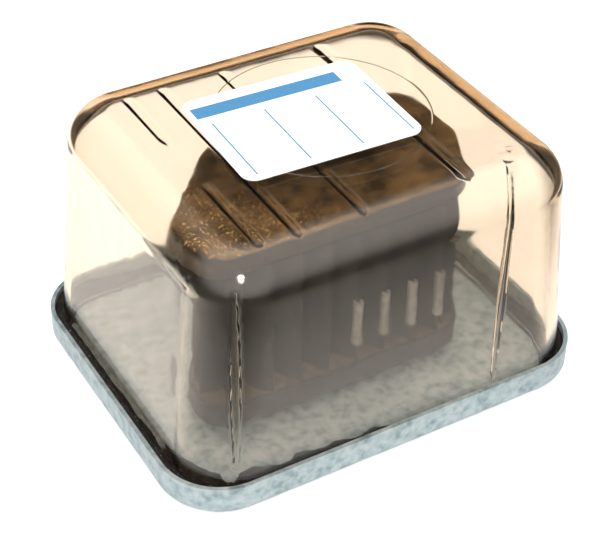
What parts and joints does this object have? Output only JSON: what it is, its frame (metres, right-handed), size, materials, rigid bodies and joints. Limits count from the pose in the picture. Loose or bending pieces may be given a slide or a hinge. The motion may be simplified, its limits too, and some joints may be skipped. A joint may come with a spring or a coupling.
{
  "type": "fuel filter",
  "caption": "Box-style disposable fuel filter: clear tinted bowl potted into a shallow steel base pan with grommet ports, and a capped pleated element inside.",
  "frame": {"origin": "middle of the base pan's flat underside", "axes": "+X along the long side towards the end that is up in use, +Y across the width towards the inlet, +Z from the base pan towards the bowl's top"},
  "size_m": [0.098, 0.0786, 0.0575],
  "materials": {
    "clear_plastic": "clear plastic with a warm smoke tint, polished",
    "zinc_plate": "zinc plated, mottled blue grey",
    "sealant": "poured black sealant, semi gloss",
    "grommet_rubber": "moulded black rubber",
    "bright_steel": "bright plated steel",
    "dark_moulding": "moulded black nylon, matt",
    "black_cap": "moulded black, glossy",
    "adhesive": "cured potting adhesive, dark brown",
    "dark_paper": "resin treated dark grey pleated paper",
    "spacer_glue": "translucent grey hot melt glue",
    "cream_paper": "resin treated cream pleated paper",
    "label_film": null
  },
  "bodies": {
    "root": {"bowl": "clear_plastic", "base_pan": "zinc_plate", "bowl_bond": "sealant", "inlet_grommet": "grommet_rubber", "outlet_grommet": "grommet_rubber", "inlet_retainer": "bright_steel", "outlet_retainer": "bright_steel", "inlet_baffle": "dark_moulding", "element_bead": "sealant", "element_base_cap": "black_cap", "outlet_seal": "grommet_rubber", "outlet_tube": "dark_moulding", "base_adhesive": "adhesive", "first_stage_media": "dark_paper", "first_stage_spacers": "spacer_glue", "first_stage_clip": "bright_steel", "stage_frame": "dark_moulding", "second_stage_media": "cream_paper", "second_stage_clip": "bright_steel", "centre_tube": "bright_steel", "top_adhesive": "adhesive", "element_cap": "black_cap", "label": "label_film"}
  },
  "joints": []
}
